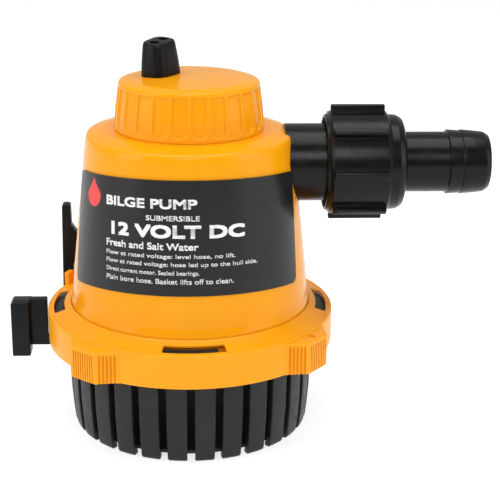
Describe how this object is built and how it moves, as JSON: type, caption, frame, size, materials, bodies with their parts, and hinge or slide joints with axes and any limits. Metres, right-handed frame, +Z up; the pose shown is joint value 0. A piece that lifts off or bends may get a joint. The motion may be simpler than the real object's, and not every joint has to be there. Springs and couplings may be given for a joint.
{
  "type": "bilge pump",
  "caption": "Submersible bilge pump with a slotted strainer base, twist ring, plug-in motor cartridge and a union nut holding a barbed hose tail.",
  "frame": {"origin": "on the pump's axis, at the bottom of the strainer base's centre pad, on the surface the pump stands on", "axes": "+Z up along the pump's axis, +X along the discharge towards the hose tail, -Y towards the front with the label"},
  "size_m": [0.1545, 0.0932, 0.1258],
  "materials": {
    "yellow_plastic": "smooth moulded, satin gloss",
    "black_plastic": "moulded, matte",
    "gloss_black_plastic": "moulded, semi-gloss",
    "label_film": "printed film, semi-matte",
    "black_rubber": "moulded, matte",
    "white_plastic": "moulded, satin",
    "zinc_steel": "zinc plated",
    "shaft_steel": "ground",
    "ferrite": "sintered, dull",
    "silicon_steel": "stacked laminations",
    "copper": "enamelled winding wire and bars",
    "carbon": "pressed carbon",
    "bronze": "sintered"
  },
  "bodies": {
    "base": {"strainer_base": "black_plastic", "switch_bracket": "black_plastic", "lever_socket": "black_plastic"},
    "release_lever": {"release_lever": "black_plastic"},
    "pump_head": {"pump_body": "yellow_plastic", "label": "label_film", "inlet_plate": "black_plastic", "impeller_casing": "black_plastic", "discharge_port": "gloss_black_plastic"},
    "lock_ring": {"lock_ring": "yellow_plastic"},
    "tail": {"tail_seal": "black_rubber", "hose_tail": "gloss_black_plastic"},
    "union_nut": {"union_nut": "gloss_black_plastic"},
    "cap_seal": {"cap_seal": "black_rubber"},
    "motor_unit": {"motor_cap": "yellow_plastic", "cable_grommet": "black_rubber", "motor_can": "zinc_steel", "lower_end_plate": "white_plastic", "upper_end_plate": "white_plastic", "magnet_front": "ferrite", "magnet_back": "ferrite", "brush_plate": "white_plastic", "brush_left": "carbon", "brush_right": "carbon", "lower_bearing": "bronze", "upper_bearing": "bronze", "shaft_seal": "black_rubber"},
    "rotor": {"motor_shaft": "shaft_steel", "armature_core": "silicon_steel", "lower_end_turns": "copper", "upper_end_turns": "copper", "commutator": "copper", "impeller": "white_plastic"}
  },
  "joints": [
    {"name": "lever_flex", "type": "hinge", "parent": "base", "child": "release_lever", "pos_m": [-0.0422, 0.0286, 0.0249], "axis": [0, -1, 0], "range_deg": [0, 6], "stiffness_Nm_per_rad": 1.2},
    {"name": "head_lift", "type": "slide", "parent": "base", "child": "pump_head", "axis": [0, 0, 1], "range_m": [0, 0.05]},
    {"name": "ring_twist", "type": "hinge", "parent": "pump_head", "child": "lock_ring", "pos_m": [0, 0, 0.034], "axis": [0, 0, 1], "range_deg": [0, 20]},
    {"name": "cap_rise", "type": "slide", "parent": "pump_head", "child": "cap_seal", "axis": [0, 0, 1], "range_m": [0, 0.004]},
    {"name": "cap_turn", "type": "hinge", "parent": "cap_seal", "child": "motor_unit", "pos_m": [0, 0, 0.1], "axis": [0, 0, 1], "range_deg": [0, 360]},
    {"name": "rotor_spin", "type": "hinge", "parent": "motor_unit", "child": "rotor", "pos_m": [0, 0, 0.06], "axis": [0, 0, 1], "continuous": true},
    {"name": "tail_out", "type": "slide", "parent": "pump_head", "child": "tail", "axis": [1, 0, 0], "range_m": [0, 0.0076]},
    {"name": "nut_turn", "type": "hinge", "parent": "tail", "child": "union_nut", "pos_m": [0.057, 0, 0.0868], "axis": [1, 0, 0], "range_deg": [0, 1080]}
  ],
  "couplings": [
    {"joint": "cap_turn", "follows": "cap_rise", "rad_per_m": 1570.8},
    {"joint": "tail_out", "follows": "nut_turn", "m_per_rad": 0.00039789}
  ]
}
